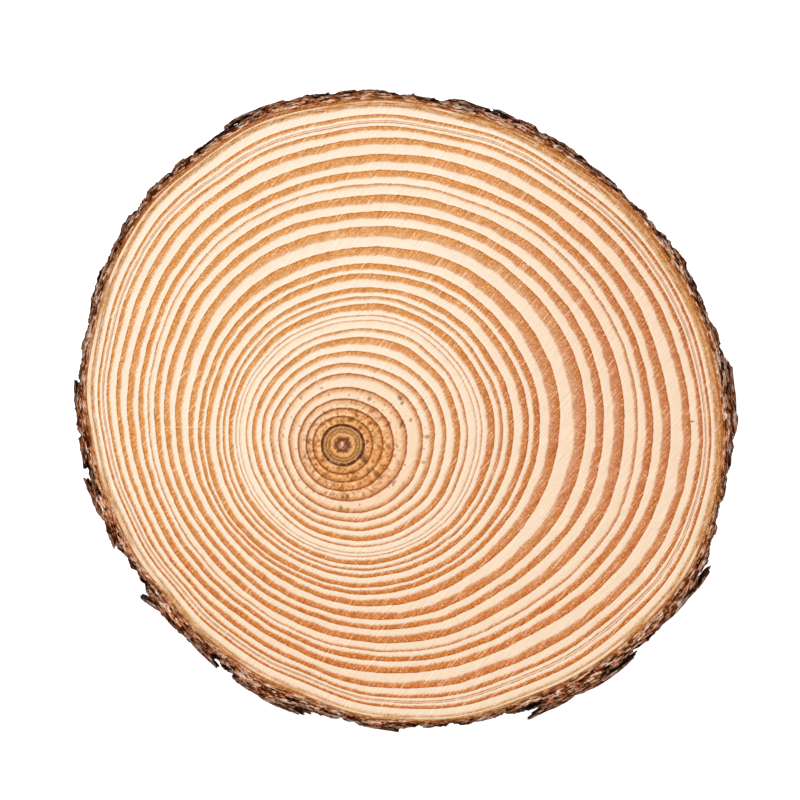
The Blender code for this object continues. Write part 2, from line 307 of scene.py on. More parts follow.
def end_grain():
    """Pine end grain, sawn and lightly sanded, unsealed: matt, with fine scratches along the sanding
    stroke, pale resin canals in the hard bands, faint rays, and a resin-stained heart round the pith."""
    material = bpy.data.materials.new("sanded_pine_end_grain")
    material.use_nodes = True
    tree = material.node_tree
    add = partial(add_node, tree)
    shader = tree.nodes["Principled BSDF"]
    place = add("TexCoord", out="Object")
    mm = add("VectorMath", place, 1.0 / MM, operation="SCALE")
    from_pith = add("VectorMath", mm, PITH_MM, operation="SUBTRACT")
    age, past_wood, ring_width, band_from, band_strength = (
        add("Attribute", attribute_name=name, out="Fac") for name in POINT_READINGS + YEAR_READINGS
    )

    # Sanding strokes: hair lines 0.4 mm wide and about 9 mm long, all over.
    turned = add("Mapping", mm, None, (0.0, 0.0, math.radians(-SANDING_DEGREES)))
    drawn_out = add("VectorMath", turned, (0.11, 2.4, 1.0), operation="MULTIPLY")
    strokes = add("TexNoise", drawn_out, 1.0, 3.0)
    # Cells in clumps about 0.5 mm across. Real ones are finer, but wouldn't show.
    cells = add("TexNoise", mm, 1.5, 2.0, 0.7)
    clumps = add("TexVoronoi", mm, 2.1, out="Color")
    clump = add("SeparateColor", clumps)

    # Where the point lies in its year: the ring lines sway by 0.2 mm and are frayed by cells.
    sway = add("TexNoise", mm, 0.12, 2.0)
    sway_mm = add("Math", sway, 0.9, -0.45, operation="MULTIPLY_ADD")
    fray_mm = add("Math", cells, 0.6, -0.3, operation="MULTIPLY_ADD")
    both_mm = add("Math", sway_mm, fray_mm, operation="ADD")
    thin_ring = add("MapRange", ring_width, 0.8, 2.6, 0.12, 1.0)
    moved_mm = add("Math", both_mm, thin_ring, operation="MULTIPLY")
    in_years = add("Math", moved_mm, ring_width, operation="DIVIDE")
    frayed_age = add("Math", age, in_years, operation="ADD")
    season = add("Math", frayed_age, operation="FRACT")
    to_go = add("Math", 1.0, season, operation="SUBTRACT")
    to_go_mm = add("Math", to_go, ring_width, operation="MULTIPLY")
    gone_mm = add("Math", season, ring_width, operation="MULTIPLY")

    # Where the band comes on wanders by up to a millimetre round the tree, and its edge is rough.
    drift = add("TexNoise", mm, 0.06, 3.0)
    drift_all = add("Math", drift, 0.3, -0.15, operation="MULTIPLY_ADD")
    drift_years = add("Math", drift_all, thin_ring, operation="MULTIPLY")
    early_years = add("Math", season, band_from, operation="SUBTRACT")
    shifted = add("Math", early_years, drift_years, operation="ADD")
    into_mm = add("Math", shifted, ring_width, operation="MULTIPLY")
    rough_onset = add("Math", cells, 1.6, -0.8, operation="MULTIPLY_ADD")
    rough_thin = add("Math", rough_onset, thin_ring, operation="MULTIPLY")
    into_rough_mm = add("Math", into_mm, rough_thin, operation="ADD")
    # It comes on over 2.6 mm in the heart and 0.9 mm further out, and in a very thin year far faster.
    before_mm = add("MapRange", age, 4.0, 9.0, -1.7, -0.5)
    after_mm = add("MapRange", age, 4.0, 9.0, 0.9, 0.35)
    before_thin_mm = add("Math", before_mm, thin_ring, operation="MULTIPLY")
    after_thin_mm = add("Math", after_mm, thin_ring, operation="MULTIPLY")
    soft_onset = add(
        "MapRange", into_rough_mm, before_thin_mm, after_thin_mm, interpolation_type="SMOOTHSTEP"
    )
    # The last 0.4 mm of a year is the darkest, and ends within a quarter of a millimetre.
    sharp_end = add("MapRange", to_go_mm, 0.45, 0.1)
    after_end = add("MapRange", gone_mm, 0.0, 0.25, 0.5, 0.0)
    onset = add("Math", soft_onset, after_end, operation="MAXIMUM")
    # A band deepens on its way to the year's end, a wide one from a paler start.
    paler_start = add("MapRange", ring_width, 3.5, 9.0, 0.94, 0.66)
    deepened = add("MapRange", season, band_from, 1.0, paler_start, 1.0)
    full_band = add("Math", onset, band_strength, operation="MULTIPLY")
    band = add("Math", full_band, deepened, operation="MULTIPLY")
    end_line = add("Math", sharp_end, band_strength, operation="MULTIPLY")

    # The tree's slow side is paler and yellower, its fast side pinker, and its underside redder.
    along_x, along_y = (add("SeparateXYZ", from_pith, out=axis) for axis in "XY")
    off_line = add("Math", along_y, operation="ABSOLUTE")
    fast_way = add("Math", off_line, -0.5, along_x, operation="MULTIPLY_ADD")
    fast_side = add("MapRange", fast_way, -20.0, 90.0, interpolation_type="SMOOTHSTEP")
    underside = add("MapRange", along_y, 10.0, -80.0, interpolation_type="SMOOTHSTEP")
    spring_upper = add("Mix", fast_side, colour("#FCE7CF"), colour("#F7DABD"), data_type="RGBA")
    spring = add("Mix", underside, spring_upper, colour("#F7DCBF"), data_type="RGBA")
    through_spring = add("Math", season, 2.0, operation="POWER")
    summer_share = add("Math", through_spring, 0.5, operation="MULTIPLY")
    summer = add("Mix", summer_share, spring, colour("#F2CE9E"), data_type="RGBA")
    band_upper = add("Mix", fast_side, colour("#DD9042"), colour("#C77034"), data_type="RGBA")
    band_colour = add("Mix", underside, band_upper, colour("#D07222"), data_type="RGBA")
    banded = add("Mix", band, summer, band_colour, data_type="RGBA")
    line_share = add("Math", end_line, 0.6, operation="MULTIPLY")
    sound = add("Mix", line_share, banded, colour("#9E4C12"), data_type="RGBA")

    # The heart: resin has stained the wood amber out to about 15 mm, further towards the lower right.
    # It lies in streaks along the rays, and the rings in and round it end in thin brown lines.
    outward = add("VectorMath", from_pith, operation="NORMALIZE")
    streak_place = add("VectorMath", outward, 7.0, operation="SCALE")
    slow_mm = add("VectorMath", mm, 0.22, operation="SCALE")
    streak_at = add("VectorMath", streak_place, slow_mm, operation="ADD")
    streaks = add("TexNoise", streak_at, 1.3, 4.0, 0.6)
    stain_middle = add("VectorMath", from_pith, (3.2, -2.4, THICKNESS_MM), operation="SUBTRACT")
    stain_flat = add("VectorMath", stain_middle, (1.0, 1.0, 0.0), operation="MULTIPLY")
    stain_way = add("VectorMath", stain_flat, operation="LENGTH")
    uneven = add("Math", streaks, 18.0, -9.0, operation="MULTIPLY_ADD")
    stain_reach = add("Math", stain_way, uneven, operation="ADD")
    glow = add("MapRange", stain_way, 13.0, 32.0, 0.5, 0.0, interpolation_type="SMOOTHSTEP")
    warmed = add("Mix", glow, sound, colour("#FBD6AE"), data_type="RGBA", blend_type="MULTIPLY")
    stained = add("MapRange", stain_reach, 12.0, 19.0, 0.85, 0.0, interpolation_type="SMOOTHSTEP")
    amber = add(
        "ValToRGB", streaks, stops=(
            (0.34, "#6A4218"), (0.41, "#BC8C44"), (0.48, "#EABE74"), (0.56, "#F8DA9A"), (0.66, "#FFEFD0"),
        ),
    )
    ambered = add("Mix", stained, warmed, amber, data_type="RGBA", blend_type="MULTIPLY")
    brown_lines = add("MapRange", age, 3.5, 8.0, 0.95, 0.0)
    heart_line = add("MapRange", to_go_mm, 0.8, 0.25)
    heart_after = add("MapRange", gone_mm, 0.0, 0.22, 0.9, 0.0)
    heart_either = add("Math", heart_line, heart_after, operation="MAXIMUM")
    heart_share = add("Math", heart_either, brown_lines, operation="MULTIPLY")
    hearted = add("Mix", heart_share, ambered, colour("#8C4814"), data_type="RGBA")
    # The pith and the first year round it, from the middle out to 8 mm, wavy inside.
    pith_wave = add("Math", streaks, 0.7, -0.35, operation="MULTIPLY_ADD")
    inside_wave = add("Math", pith_wave, to_go, operation="MULTIPLY")
    pith_fray = add("Math", cells, 0.2, -0.1, operation="MULTIPLY_ADD")
    pith_moved = add("Math", inside_wave, pith_fray, operation="ADD")
    pith_age = add("Math", age, pith_moved, operation="ADD")
    pith = add(
        "ValToRGB", pith_age, stops=(
            (0.0, "#F2C6B0"), (0.09, "#DDA286"), (0.17, "#8A4A30"), (0.30, "#6E381C"), (0.39, "#AC6C40"),
            (0.48, "#F0BA7C"), (0.57, "#D29452"), (0.63, "#8A4E22"), (0.70, "#D89E60"), (0.76, "#7E4620"),
            (0.84, "#D8A064"), (0.90, "#6E3618"), (1.0, "#401C10"),
        ),
    )
    first_year = add("Math", age, 1.0, operation="LESS_THAN")
    centred = add("Mix", first_year, hearted, pith, data_type="RGBA")

    # Under the bark the sapwood is ochre for a millimetre or two, then a pale line, then inner bark.
    loose_edge = add("Math", cells, 2.4, -1.2, operation="MULTIPLY_ADD")
    past_rough = add("Math", past_wood, loose_edge, operation="ADD")
    towards_top = add("VectorMath", outward, (0.5, 0.87, 0.0), operation="DOT_PRODUCT")
    # On the slow side it stands 0.8 mm further in.
    towards_slow = add("VectorMath", outward, (-1.0, 0.0, 0.0), operation="DOT_PRODUCT")
    slow_side = add("MapRange", towards_slow, 0.5, 0.95)
    further_in = add("Math", slow_side, -0.8, operation="MULTIPLY")
    ochre_to_top = add("Math", towards_top, -0.35, -2.3, operation="MULTIPLY_ADD")
    ochre_from = add("Math", ochre_to_top, further_in, operation="ADD")
    ochre_full = add("Math", ochre_from, 0.9, operation="ADD")
    # It lies in fine stripes along the rim, 0.5 mm apart.
    rim_reach = add("VectorMath", outward, past_wood, operation="SCALE")
    rim_push = add("VectorMath", rim_reach, 8.0, operation="SCALE")
    rim_place = add("VectorMath", mm, rim_push, operation="ADD")
    stripes = add("TexNoise", rim_place, 0.22, 3.0, 0.6)
    striped = add("MapRange", stripes, 0.36, 0.60, -0.36, 0.16)
    ochre_top = add("Math", towards_top, 0.03, 0.88, operation="MULTIPLY_ADD")
    ochre_most = add("Math", ochre_top, striped, operation="ADD")
    ochre_in = add("MapRange", past_rough, ochre_from, ochre_full, 0.0, ochre_most)
    # The pale line shows on the slow side, at the upper left and at the lower right, and breaks off.
    across_line = add("VectorMath", outward, (-0.5, 0.87, 0.0), operation="DOT_PRODUCT")
    near_ends = add("Math", across_line, operation="ABSOLUTE")
    near_line = add("Math", near_ends, towards_slow, operation="MAXIMUM")
    line_drift = add("Math", drift, -1.6, near_line, operation="MULTIPLY_ADD")
    covered = add("MapRange", line_drift, -0.12, 0.12, 0.9, 0.1)
    line_across = add("Math", across_line, 0.3, -0.8, operation="MULTIPLY_ADD")
    line_from = add("Math", line_across, further_in, operation="ADD")
    line_full = add("Math", line_from, 0.2, operation="ADD")
    ochre_out = add("MapRange", past_wood, line_from, line_full, 1.0, covered)
    ochre_share = add("Math", ochre_in, ochre_out, operation="MULTIPLY")
    bark_in = add("MapRange", past_wood, -0.1, 0.1)

    # Resin canals: pale dots about 0.4 mm across, in the hard bands only.
    canal_cells = add("TexVoronoi", mm, 0.75)
    canal = add("MapRange", canal_cells, 0.10, 0.22, 0.65, 0.0)
    canal_share = add("Math", canal, band, operation="MULTIPLY")

    # The deeper scratches have filled with pale dust. They lie in patches.
    scratch = add("MapRange", strokes, 0.58, 0.74)
    patches = add("TexNoise", mm, 0.03, 2.0)
    patch = add("MapRange", patches, 0.40, 0.62, 0.15, 0.45)
    dust = add("Math", scratch, patch, operation="MULTIPLY")
    over = ((ochre_share, "#C27C30"), (bark_in, "#B5692F"), (canal_share, "#F7DDBA"), (dust, "#FAE8CE"))
    scratched = centred
    for share, hex_code in over:
        scratched = add("Mix", share, scratched, colour(hex_code), data_type="RGBA")

    # Lightness: cells mottle the hard bands most, and strokes hatch everything.
    coarse_rim = add("Math", ochre_share, bark_in, operation="MAXIMUM")
    coarse = add("Math", band, coarse_rim, operation="MAXIMUM")
    grit = add("MapRange", coarse, 0.0, 1.0, 0.17, 1.15)
    either_cell = add("Math", clump, 0.42, cells, operation="MULTIPLY_ADD")
    cell_way = add("Math", either_cell, 0.71, operation="SUBTRACT")
    cell_shade = add("Math", cell_way, grit, operation="MULTIPLY")
    stroke_way = add("Math", strokes, 0.5, operation="SUBTRACT")
    hatch = add("MapRange", band, 0.0, 1.0, 0.6, 1.5)
    stroke_shade = add("Math", stroke_way, hatch, operation="MULTIPLY")
    mottle = add("Math", cell_shade, stroke_shade, operation="ADD")
    # Rays: hair-thin lines out from the pith, a shade paler or darker than the wood between them.
    ray_place = add("VectorMath", outward, 70.0, operation="SCALE")
    rays = add("TexNoise", ray_place, 1.0, 2.0)
    ray_shade = add("Math", rays, 0.12, 0.94, operation="MULTIPLY_ADD")
    # The first cells of a spring are the palest.
    first_cells = add("MapRange", gone_mm, 0.5, 1.3, 0.04, 0.0)
    ring_shade = add("Math", ray_shade, first_cells, operation="ADD")
    lightness = add("Math", mottle, ring_shade, operation="ADD")
    # A darker cell has a thicker wall, so its colour is deeper and not only dimmer.
    deeper = add("Math", lightness, -0.7, 1.7, operation="MULTIPLY_ADD")
    deepened_colour = add("Gamma", scratched, deeper)
    dimmer = add("Math", lightness, 0.45, 0.55, operation="MULTIPLY_ADD")
    grained = add("VectorMath", deepened_colour, dimmer, operation="SCALE")

    # Resin spots: small brown streaks along the rays, fewer from the fifth year and none past the eighth.
    spot_place = add("VectorMath", outward, 9.0, operation="SCALE")
    spot_mm = add("VectorMath", mm, 0.30, operation="SCALE")
    spot_at = add("VectorMath", spot_place, spot_mm, operation="ADD")
    spot_cells, spot_shade = (
        add("TexVoronoi", spot_at, 1.15, out=name) for name in ("Distance", "Color")
    )
    spot = add("MapRange", spot_cells, 0.14, 0.32, 0.75, 0.0)
    few = add("Math", spot_shade, 0.66, operation="GREATER_THAN")
    spot_years = add("MapRange", age, 5.0, 8.0, 1.0, 0.0)
    spot_here = add("Math", spot, spot_years, operation="MULTIPLY")
    spot_share = add("Math", spot_here, few, operation="MULTIPLY")
    marked = add("Mix", spot_share, grained, colour("#9C5A26"), data_type="RGBA")
    # Marks and long scratches, with their edges broken up by the cells.
    for mark in MARKS:
        middle = Vector((mark.x_mm, mark.y_mm, THICKNESS_MM)) + PITH_MM
        inside = add(
            "Mapping", mm, middle, (0.0, 0.0, math.radians(mark.degrees)),
            (mark.long_mm / 2.0, mark.wide_mm / 2.0, 3.0), vector_type="TEXTURE",
        )
        way = add("VectorMath", inside, operation="LENGTH")
        ragged = add("Math", cells, 1.2, way, operation="MULTIPLY_ADD")
        share = add("MapRange", ragged, 1.1, 2.0, mark.share, 0.0)
        marked = add("Mix", share, marked, colour(mark.hex_code), data_type="RGBA")
    tree.links.new(marked, shader.inputs["Base Color"])

    # Dry wood is matt, and the hard bands take a little polish from the sanding.
    shine = add("MapRange", band, 0.0, 1.0, 0.78, 0.6)
    tree.links.new(shine, shader.inputs["Roughness"])
    shader.inputs["Specular IOR Level"].default_value = 0.12
    bump = add("Bump", 0.5, 0.0003, None, mottle)
    tree.links.new(bump, shader.inputs["Normal"])
    return material


def make_timber():
    """A sheet rolled round the trunk. Its x runs once round, and its y runs along the slice's section:
    out over the top face from the pith, down the edge, and back in under the slice."""
    section = [(0.0, 1.0)]
    section += [(year + part, 1.0) for year in range(LAST_YEAR) for part in TOP_LOOPS_A_YEAR]
    section += [(LAST_YEAR, height) for height in (0.75, 0.5, 0.25)]
    section += [(year, 0.0) for year in range(LAST_YEAR, -1, -1)]
    rows = len(section) - 1
    shape = bmesh.new()
    age_layer, past_layer = (shape.verts.layers.float.new(name) for name in POINT_READINGS)
    width_layer, from_layer, strength_layer = (shape.faces.layers.float.new(name) for name in YEAR_READINGS)
    bmesh.ops.create_grid(shape, x_segments=WOOD_STEPS, y_segments=rows, size=0.5)
    bmesh.ops.translate(shape, verts=shape.verts, vec=(0.5, 0.5, 0.0))
    rings_mm = [
        [ring_mm(year, step * 360.0 / WOOD_STEPS) for year in range(LAST_YEAR + 1)]
        for step in range(WOOD_STEPS + 1)
    ]
    for face in shape.faces:
        centre = face.calc_center_median()
        rings = rings_mm[int(centre.x * WOOD_STEPS)]
        first = int(centre.y * rows)
        year = min(int((section[first][0] + section[first + 1][0]) / 2.0), LAST_YEAR - 1)
        face[width_layer] = rings[year + 1] - rings[year]
        face[from_layer] = YEARS[year].band_from
        face[strength_layer] = YEARS[year].strength
    for vertex in shape.verts:
        step = round(vertex.co.x * WOOD_STEPS)
        degrees = step * 360.0 / WOOD_STEPS
        age, up = section[round(vertex.co.y * rows)]
        year = min(int(age), LAST_YEAR - 1)
        part = age - year
        radius = rings_mm[step][year] * (1.0 - part) + rings_mm[step][year + 1] * part
        vertex[age_layer] = age
        vertex[past_layer] = radius - cambium_mm(degrees) - around(INNER_BARK_MM, degrees)
        height = THICKNESS_MM * up
        if age == LAST_YEAR:
            radius += WOOD_EDGE_MM
        elif up == 1.0 and part > 0.0:
            height -= SANDED_HOLLOW_MM * (1.0 - smooth_step(*HOLLOW_RISES, part))
        vertex.co = place_mm(degrees, radius, height)
    bmesh.ops.remove_doubles(shape, verts=shape.verts, dist=0.001)
    return put_in_scene("timber", shape, end_grain(), 30.0)


timber = make_timber()
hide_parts("wood")
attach(timber, "root")


# The bark: firm layers of cork round the whole trunk, in plates parted by shallow fissures. The saw
# crumbled its cut edge, which left ridges along the layers, and hollows where one has come away.
BARK_INNER_MM = 0.18
BARK_STEPS = 1440
BARK_ROWS = 18
BARK_LOOPS = (0.04, 0.1, 0.18, 0.27, 0.36, 0.45, 0.54, 0.63, 0.72, 0.81, 0.9, 0.96)
PLATE_WIDTH_MM = 15.0
PLATE_STRETCH = 0.42  # a plate is longer up the trunk than around it
PLATE_SWAY = 0.35  # how far a plate's sides wander, in plate widths
PLATE_LIFT_MM = 0.5
FISSURE_DEPTH_MM = 0.9
FISSURE_SHARE = 0.26
TOP_FADE_MM = 8.0  # fissures are deeper from so far below the cut edge
ROUGHNESS_MM = 0.6
LAYER_MM = 0.7  # one year's layer of cork
LAYER_WANDER_MM = 0.5
STEPPED_SHARE = 0.7  # how much of the relief is in whole layers
CRUMB_MM = 0.2
THINNEST_BARK_MM = 1.7
EDGE_LOSS_MM = 0.7
RIDGES_A_MM = 0.11  # along the rim; across the layers they lie SPREAD times closer
SPREAD = 9.0
GAP_DEPTH_MM = 1.1  # how deep the gaps between layers crumble at the cut
CRUMBLE_MM = 0.35
# What the mesh tells the material, for each point: whether it lies on the cut, how far it lies from the
# cambium, the outer face and the wood, in mm, and how much painted shade it takes in a gap, hollow or
# fissure.
BARK_READINGS = ("cut", "bark_depth", "to_edge", "past_wood", "recess_shade")
# How far the firm bark reaches from the cambium, every 7.5 degrees.
BARK_DEPTHS_MM = (
    3.5, 4.8, 4.2, 3.5, 4.5, 2.8, 2.4, 4.0, 4.6, 4.6, 3.8, 3.4,
    4.0, 4.3, 4.0, 3.2, 4.0, 3.1, 4.0, 4.2, 4.4, 3.9, 4.0, 5.0,
    5.7, 5.2, 6.3, 5.5, 4.2, 5.5, 6.4, 5.9, 5.0, 6.6, 6.4, 5.2,
    4.4, 4.6, 3.2, 3.4, 3.9, 6.6, 7.0, 5.9, 4.9, 5.4, 4.3, 3.0,
)
# Where the top face has a hollow between layers: its angle and its place out from the cambium.
Hollow = namedtuple("Hollow", "degrees half_degrees out_mm half_mm drop_mm")
HOLLOWS = [Hollow(*sizes) for sizes in (
    (1.2, 1.0, 4.6, 0.7, 3.0), (14.5, 0.9, 3.9, 0.6, 2.0),
    (24.2, 2.1, 3.9, 0.45, 2.0), (35.0, 0.9, 3.3, 0.5, 1.8),
    (50.0, 1.0, 3.2, 0.5, 2.0), (53.3, 0.8, 2.8, 0.5, 1.6),
    (63.0, 2.2, 3.9, 0.7, 3.0), (66.3, 0.8, 3.8, 0.6, 2.4),
    (93.0, 1.2, 3.6, 0.45, 1.8), (109.0, 1.4, 3.2, 0.6, 2.6),
    (115.7, 1.1, 2.9, 0.5, 2.0), (145.5, 1.2, 4.2, 0.5, 1.8),
    (152.0, 1.2, 4.3, 0.6, 2.0), (155.8, 0.9, 4.6, 0.6, 2.0),
    (167.5, 1.2, 4.0, 0.5, 1.8), (185.0, 1.3, 4.0, 0.6, 2.2),
    (202.0, 2.0, 5.2, 0.6, 2.4), (205.5, 1.1, 4.0, 0.6, 2.6),
    (211.5, 1.1, 3.7, 0.6, 2.0), (214.8, 1.4, 3.5, 0.6, 2.4),
    (218.5, 1.3, 7.2, 0.8, 3.2), (239.2, 1.1, 4.2, 0.9, 3.5),
    (242.2, 0.9, 4.6, 0.6, 2.4), (244.8, 0.8, 5.3, 0.6, 2.2),
    (258.5, 1.9, 2.4, 0.35, 1.4), (278.0, 1.1, 3.9, 0.6, 2.2),
    (284.5, 0.8, 3.6, 0.4, 1.5), (288.0, 0.7, 3.4, 0.4, 1.5),
    (306.0, 2.1, 4.3, 0.9, 3.5), (320.0, 0.9, 3.9, 0.6, 2.2),
    (323.0, 1.3, 5.6, 0.6, 2.8), (325.7, 0.7, 4.8, 0.6, 2.4),
    (328.0, 0.9, 4.4, 0.5, 2.0), (333.8, 1.5, 5.2, 0.6, 2.4),
    (340.5, 1.0, 5.6, 0.6, 2.2), (357.5, 1.0, 2.9, 0.5, 1.8),
)]


def on_bark(degrees, height_mm):
    """The point of the bark's face that its plates are read at, in plate widths."""
    turn = math.radians(degrees)
    radius = around(CAMBIUM_RADII_MM, degrees)
    place = Vector((radius * math.cos(turn), radius * math.sin(turn), height_mm * PLATE_STRETCH))
    return place / PLATE_WIDTH_MM


def bark_depth_mm(degrees, height_mm):
    """How far the firm bark reaches beyond the cambium, and how far into a fissure the point lies."""
    place = on_bark(degrees, height_mm)
    aside = noise.noise(place * 1.7)
    along = noise.noise(place * 1.7 + Vector((7.0, 0.0, 0.0)))
    distances, seeds = noise.voronoi(place + PLATE_SWAY * Vector((aside, along, 0.0)))
    fissure = 1.0 - smooth_step(0.0, FISSURE_SHARE, distances[1] - distances[0])
    lift = PLATE_LIFT_MM * noise.noise(seeds[0] * 3.1)
    rough = ROUGHNESS_MM * noise.noise(place * 5.0)
    below_top = smooth_step(0.0, TOP_FADE_MM, THICKNESS_MM - height_mm)
    depth = around(BARK_DEPTHS_MM, degrees) + lift + rough
    depth -= FISSURE_DEPTH_MM * fissure * (1.0 + 0.8 * below_top)
    layers = (depth + LAYER_WANDER_MM * noise.fractal(place * 9.0, 0.8, 2.0, 3)) / LAYER_MM
    whole = math.floor(layers)
    stepped = LAYER_MM * (whole + smooth_step(0.3, 0.7, layers - whole))
    fine = CRUMB_MM * noise.fractal(place * 30.0, 0.7, 2.0, 2)
    return max((1.0 - STEPPED_SHARE) * depth + STEPPED_SHARE * stepped + fine, THINNEST_BARK_MM), fissure


def edge_loss_mm(degrees, face):
    """How far the bark's outer edge is broken back from a sawn face, 0 under the slice and 1 on top."""
    place = on_bark(degrees, 0.0) * 2.6 + Vector((0.0, 0.0, 40.0 * face))
    return EDGE_LOSS_MM * (0.55 + 0.45 * noise.noise(place))


def cut_drop_mm(degrees, out_mm, face):
    """How far the cut bark has crumbled below the saw's plane, and how much painted shade its gap or hollow
    takes, from 0 to 1.
    """
    turn = math.radians(degrees)
    spread = cambium_mm(degrees) + SPREAD * out_mm
    place = Vector((spread * math.cos(turn), spread * math.sin(turn), 60.0 * face)) * RIDGES_A_MM
    ridge = 1.0 - abs(noise.fractal(place, 0.9, 2.0, 3)) * 6.0
    ridge_gap = smooth_step(0.3, 0.95, ridge) * smooth_step(0.7, 1.8, out_mm)
    # Painted shade in the gaps between layers, and below in the hollows.
    gap_shade = 0.8 * ridge_gap
    crumble = CRUMBLE_MM * (0.5 + noise.fractal(place * 1.9, 0.8, 2.0, 3))
    drop = GAP_DEPTH_MM * ridge_gap + crumble * smooth_step(0.4, 1.4, out_mm)
    if face == 1:
        for hollow in HOLLOWS:
            off = (degrees - hollow.degrees + 180.0) % 360.0 - 180.0
            if abs(off) < 1.6 * hollow.half_degrees:
                way = math.hypot(off / hollow.half_degrees, (out_mm - hollow.out_mm) / hollow.half_mm)
                inside = 1.0 - smooth_step(0.6, 1.25, way + 0.8 * noise.noise(place * 3.0))
                drop = max(drop, hollow.drop_mm * inside)
                gap_shade = max(gap_shade, inside)
    return max(drop, 0.0), gap_shade


def bark_place_mm(degrees, beyond_mm, height_mm):
    """A point of the bark, so far beyond the cambium, held inside the slice's own measured width."""
    point = place_mm(degrees, cambium_mm(degrees) + beyond_mm, height_mm)
    for axis in (0, 1):
        low, high = (corner[axis] / MM for corner in solid_box)
        point[axis] = min(max(point[axis], low), high)
    return point


def dry_bark():
    """Softwood bark, dull and corky: orange-brown in the thin living layer next to the wood, red-brown with
    paler pink layers where the saw cut it, and grey-brown outside, where the weather reached."""
    material = bpy.data.materials.new("dry_softwood_bark")
    material.use_nodes = True
    tree = material.node_tree
    add = partial(add_node, tree)
    shader = tree.nodes["Principled BSDF"]
    place = add("TexCoord", out="Object")
    mm = add("VectorMath", place, 1.0 / MM, operation="SCALE")
    from_pith = add("VectorMath", mm, PITH_MM, operation="SUBTRACT")
    cut, depth, to_edge, past_wood, recess_shade = (
        add("Attribute", attribute_name=name, out="Fac") for name in BARK_READINGS
    )

    # On the cut, layers run along the rim: spreading the depth 4.5 times draws the pattern out that way.
    flat = add("VectorMath", from_pith, (1.0, 1.0, 0.0), operation="MULTIPLY")
    outward = add("VectorMath", flat, operation="NORMALIZE")
    reach = add("Math", depth, 4.5, operation="MULTIPLY")
    push = add("VectorMath", outward, reach, operation="SCALE")
    layered = add("VectorMath", mm, push, operation="ADD")
    layers = add("TexNoise", layered, 0.32, 5.0, 0.72)
    # Flakes of cork, 3.3 mm long and 0.6 mm thick, each its own shade.
    flecks = add("TexVoronoi", layered, 0.3, out="Color")
    fleck = add("SeparateColor", flecks)
    fleck_way = add("Math", fleck, 0.36, -0.18, operation="MULTIPLY_ADD")
    layer_tone = add("Math", layers, fleck_way, operation="ADD")
    cut_face = add(
        "ValToRGB", layer_tone, stops=(
            (0.34, "#34120A"), (0.41, "#843E1A"), (0.47, "#C2703C"), (0.53, "#DA9468"), (0.60, "#EAB894"),
            (0.67, "#FCDFC8"),
        ),
    )
    # Between layers, 0.8 mm apart, a dark line that wanders and breaks off.
    wander = add("TexNoise", layered, 0.10, 3.0)
    wander_by = add("Math", wander, 5.0, operation="MULTIPLY")
    layer_count = add("Math", depth, 1.25, wander_by, operation="MULTIPLY_ADD")
    in_layer = add("Math", layer_count, operation="FRACT")
    seam_line = add("MapRange", in_layer, 0.1, 0.32, 1.0, 0.0)
    seam_here = add("MapRange", layers, 0.42, 0.56, 0.9, 0.15)
    seam = add("Math", seam_line, seam_here, operation="MULTIPLY")
    # Crumbs of cork in rows along the layers, 2 mm long and 0.4 mm thick, some paler and some darker.
    crumbs = add("TexNoise", layered, 0.55, 2.0, 0.75)
    living = add("MapRange", past_wood, 0.2, 2.0, 0.6, 0.0)
    still_wood = add("MapRange", past_wood, -0.15, 0.15, 1.0, 0.0)
    weathered = add("MapRange", to_edge, 0.2, 2.4, 0.66, 0.0)
    over = ((seam, "#3A170D"), (living, "#C87A3A"), (still_wood, "#D6A468"), (weathered, "#3E1E16"))
    for share, hex_code in over:
        cut_face = add("Mix", share, cut_face, colour(hex_code), data_type="RGBA")

    # On the outside, scales: grey-brown faces, red-brown where one has come off, and dark patches. Shade in
    # the cracks is painted further down.
    tall = add("VectorMath", mm, (1.0, 1.0, 0.45), operation="MULTIPLY")
    scales = add("TexNoise", tall, 0.35, 6.0, 0.65)
    outside = add(
        "ValToRGB", scales, stops=(
            (0.30, "#33201A"), (0.41, "#5E3E30"), (0.49, "#7C5846"), (0.57, "#937260"), (0.64, "#8A5034"),
            (0.74, "#B29784"),
        ),
    )
    either = add("Mix", cut, outside, cut_face, data_type="RGBA")
    crumb_shade = add("Math", crumbs, 3.2, -0.62, operation="MULTIPLY_ADD")
    crumbly = add("VectorMath", either, crumb_shade, operation="SCALE")
    # Painted shade: gaps, hollows, fissures and the inner faces and rims of loose scales are darkened
    # almost to black.
    painted_shade = add("Math", recess_shade, 0.97, operation="MULTIPLY")
    shadowed = add("Mix", painted_shade, crumbly, colour("#1A0C08"), data_type="RGBA")
    tree.links.new(shadowed, shader.inputs["Base Color"])
    shader.inputs["Roughness"].default_value = 0.95
    shader.inputs["Specular IOR Level"].default_value = 0.04
    relief = add("Math", crumbs, layers, operation="ADD")
    bump = add("Bump", 0.7, 0.001, None, relief)
    tree.links.new(bump, shader.inputs["Normal"])
    return material


bark_finish = dry_bark()


